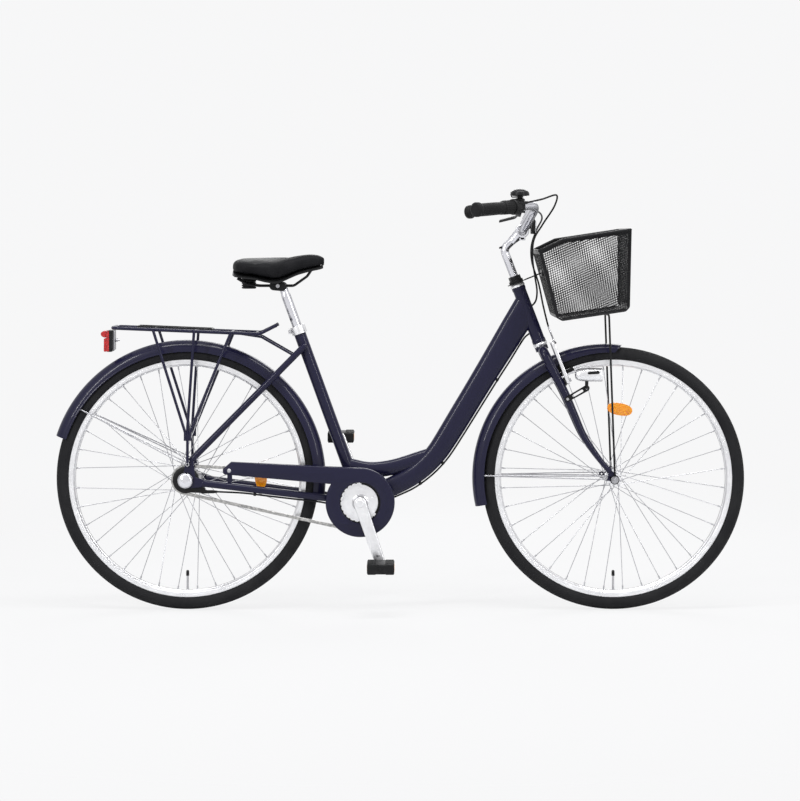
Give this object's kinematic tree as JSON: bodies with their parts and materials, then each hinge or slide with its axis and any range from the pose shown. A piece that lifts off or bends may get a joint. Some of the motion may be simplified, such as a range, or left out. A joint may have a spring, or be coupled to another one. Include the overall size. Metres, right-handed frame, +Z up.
{
  "type": "step through bike",
  "caption": "Step-through city bicycle with low curved main tube, painted fenders, rear carrier, wire mesh front basket, chain guard and internal gear hub",
  "frame": {"origin": "on the ground midway between the axles, under the bike's middle plane", "axes": "+X forward along the bike, +Z up, -Y the chain side"},
  "size_m": [1.842, 0.6422, 1.1234],
  "materials": {
    "frame_paint": "gloss",
    "steel": "satin",
    "zinc_wire": "satin",
    "chrome": "polished",
    "black_metal": "satin",
    "black_plastic": "matte",
    "grip_rubber": "matte",
    "tyre_rubber": "matte",
    "seat_cover": "satin",
    "orange_reflector": "gloss",
    "red_lens": "gloss",
    "clear_lens": "gloss",
    "chain_steel": "satin"
  },
  "bodies": {
    "frame": {"head_tube": "frame_paint", "main_tube": "frame_paint", "seat_tube": "frame_paint", "chain_stays": "frame_paint", "seat_stays": "frame_paint", "upper_headset_cup": "steel", "lower_headset_cup": "steel", "seat_clamp": "steel", "rear_axle": "steel", "rear_fender": "frame_paint", "rear_fender_stays": "zinc_wire", "rack_deck": "frame_paint", "right_rack_legs": "frame_paint", "left_rack_legs": "frame_paint", "tail_light": "black_plastic", "tail_light_lens": "red_lens", "chain": "chain_steel", "chain_guard": "frame_paint", "shift_cable": "grip_rubber"},
    "clip": {"rack_clip": "chrome"},
    "saddle": {"seatpost": "steel", "saddle_rails": "black_metal", "saddle_cushion": "seat_cover"},
    "steering": {"fork": "frame_paint", "headset_locknut": "steel", "stem": "chrome", "handlebar": "chrome", "right_grip": "grip_rubber", "left_grip": "grip_rubber", "shifter_housing": "black_plastic", "bell": "black_metal", "brake_lever_bracket": "black_metal", "brake_cable": "grip_rubber", "shift_cable_loop": "grip_rubber", "front_fender": "frame_paint", "front_fender_stays": "zinc_wire", "basket": "black_metal", "basket_stay": "black_metal", "headlamp": "steel", "headlamp_lens": "clear_lens", "front_axle": "steel", "bar_reflector": "black_plastic"},
    "lever": {"brake_lever": "black_metal"},
    "right_arm": {"right_brake_arm": "steel"},
    "left_arm": {"left_brake_arm": "steel"},
    "shifter": {"twist_shifter": "grip_rubber"},
    "striker": {"bell_striker": "black_metal"},
    "front_wheel": {"front_tyre": "tyre_rubber", "front_rim": "steel", "front_hub_spokes": "steel", "front_spoke_reflector": "orange_reflector"},
    "rear_wheel": {"rear_tyre": "tyre_rubber", "rear_rim": "steel", "rear_hub_spokes": "steel", "rear_spoke_reflector": "orange_reflector"},
    "crank": {"right_crank": "steel", "left_crank": "steel"},
    "pedal_right": {"right_pedal": "black_plastic"},
    "pedal_left": {"left_pedal": "black_plastic"},
    "sprocket": {"rear_sprocket": "chain_steel"}
  },
  "joints": [
    {"name": "steering", "type": "hinge", "parent": "frame", "child": "steering", "pos_m": [0.34399, 0, 0.7891], "axis": [-0.3584, 0, 0.9336], "range_deg": [-60, 60], "deforming": ["shift_cable_loop"]},
    {"name": "front_wheel_spin", "type": "hinge", "parent": "steering", "child": "front_wheel", "pos_m": [0.57, 0, 0.351], "axis": [0, 1, 0], "continuous": true},
    {"name": "rear_wheel_spin", "type": "hinge", "parent": "frame", "child": "rear_wheel", "pos_m": [-0.57, 0, 0.351], "axis": [0, 1, 0], "continuous": true},
    {"name": "crank_spin", "type": "hinge", "parent": "frame", "child": "crank", "pos_m": [-0.10687, 0, 0.291], "axis": [0, 1, 0], "continuous": true},
    {"name": "sprocket_spin", "type": "hinge", "parent": "frame", "child": "sprocket", "pos_m": [-0.57, 0, 0.351], "axis": [0, 1, 0], "continuous": true},
    {"name": "right_pedal_spin", "type": "hinge", "parent": "crank", "child": "pedal_right", "pos_m": [-0.05152, -0.133, 0.13026], "axis": [0, 1, 0], "continuous": true},
    {"name": "left_pedal_spin", "type": "hinge", "parent": "crank", "child": "pedal_left", "pos_m": [-0.16222, 0.133, 0.45174], "axis": [0, 1, 0], "continuous": true},
    {"name": "seatpost_slide", "type": "slide", "parent": "frame", "child": "saddle", "axis": [-0.342, 0, 0.9397], "range_m": [-0.03, 0.1]},
    {"name": "brake_lever_pull", "type": "hinge", "parent": "steering", "child": "lever", "pos_m": [0.32908, 0.19293, 1.06274], "axis": [0.3439, 0.3775, 0.8598], "range_deg": [0, 20], "stiffness_Nm_per_rad": 0.8, "springref_deg": -8.59},
    {"name": "right_brake_arm_swing", "type": "hinge", "parent": "steering", "child": "right_arm", "pos_m": [0.44507, -0.043, 0.61367], "axis": [-0.9336, 0, -0.3584], "range_deg": [0, 4]},
    {"name": "left_brake_arm_swing", "type": "hinge", "parent": "steering", "child": "left_arm", "pos_m": [0.44507, 0.043, 0.61367], "axis": [0.9336, 0, 0.3584], "range_deg": [0, 4]},
    {"name": "shifter_twist", "type": "hinge", "parent": "steering", "child": "shifter", "pos_m": [0.27578, -0.21706, 1.07347], "axis": [0.671, 0.7393, 0.0563], "range_deg": [0, 75]},
    {"name": "bell_strike", "type": "hinge", "parent": "steering", "child": "striker", "pos_m": [0.31134, -0.17788, 1.10095], "axis": [0, 0, 1], "range_deg": [0, 25], "stiffness_Nm_per_rad": 0.02, "springref_deg": -5.73},
    {"name": "rack_clip_lift", "type": "hinge", "parent": "frame", "child": "clip", "pos_m": [-0.698, 0, 0.75862], "axis": [0, -1, 0], "range_deg": [0, 60], "stiffness_Nm_per_rad": 0.5, "springref_deg": -20.05}
  ],
  "couplings": [
    {"joint": "sprocket_spin", "follows": "crank_spin", "ratio": 2.1111},
    {"joint": "right_brake_arm_swing", "follows": "brake_lever_pull", "ratio": 0.2},
    {"joint": "left_brake_arm_swing", "follows": "brake_lever_pull", "ratio": 0.2}
  ]
}
